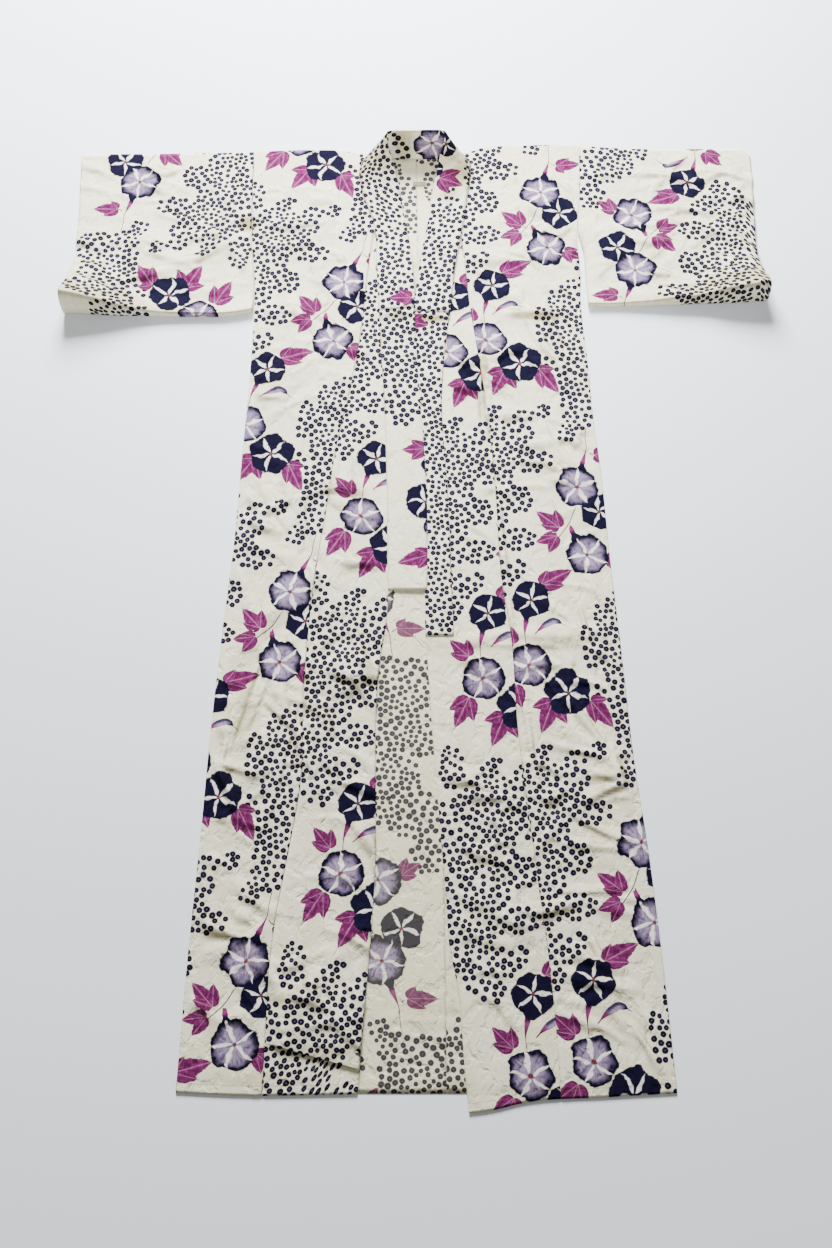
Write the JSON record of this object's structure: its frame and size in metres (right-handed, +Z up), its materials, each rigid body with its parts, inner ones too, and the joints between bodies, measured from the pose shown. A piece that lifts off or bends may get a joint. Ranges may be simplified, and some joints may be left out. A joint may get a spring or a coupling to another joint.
{
  "type": "cotton yukata robe",
  "caption": "Unlined cotton yukata robe laid out flat, front up, with its collar, overlap gores and wide sleeves, the sleeve bottoms turned under.",
  "frame": {"origin": "middle of the robe's bounding box, on the surface that it lies on", "axes": "+Z up from the surface, +Y from the hem towards the neck, +X towards the wearer's left sleeve"},
  "size_m": [1.2441, 1.6764, 0.0556],
  "materials": {
    "body_cotton": "off-white plain-weave cotton with a violet, navy and magenta stencil print",
    "okumi_cotton": "off-white plain-weave cotton with a violet, navy and magenta stencil print",
    "sleeve_cotton": "off-white plain-weave cotton with a violet, navy and magenta stencil print",
    "collar_cotton": "off-white plain-weave cotton with a violet, navy and magenta stencil print",
    "tag_tape": "beige woven tape, blank"
  },
  "bodies": {
    "root": {"body_panel_right": "body_cotton", "body_panel_left": "body_cotton", "okumi_right": "okumi_cotton", "okumi_left": "okumi_cotton", "sleeve_right": "sleeve_cotton", "sleeve_left": "sleeve_cotton", "collar": "collar_cotton", "collar_cover": "collar_cotton", "neck_tag": "tag_tape"}
  },
  "joints": []
}
